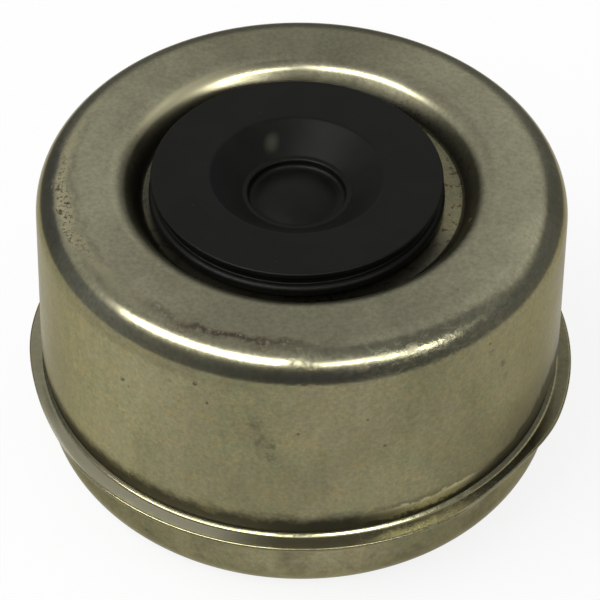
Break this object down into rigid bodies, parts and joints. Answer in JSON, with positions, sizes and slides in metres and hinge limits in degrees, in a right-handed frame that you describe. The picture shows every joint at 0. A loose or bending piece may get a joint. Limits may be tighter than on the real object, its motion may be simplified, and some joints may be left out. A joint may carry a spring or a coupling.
{
  "type": "hub grease cap",
  "caption": "Round drawn steel grease cap with a folded flange and a drive-in lip, and a rubber plug in the recessed crown.",
  "frame": {"origin": "centre of the drive-in lip's foot, on the plane that the cap stands on", "axes": "+Z along the hub's axis, out of the hub and through the crown; +X to the right as the picture shows it"},
  "size_m": [0.0536, 0.0536, 0.031],
  "materials": {
    "zinc_plated_steel": "zinc-plated, aged to a blotchy olive grey, with bright rubbed folds",
    "black_rubber": "matte moulded rubber"
  },
  "bodies": {
    "root": {"cap_shell": "zinc_plated_steel", "plug": "black_rubber"}
  },
  "joints": []
}
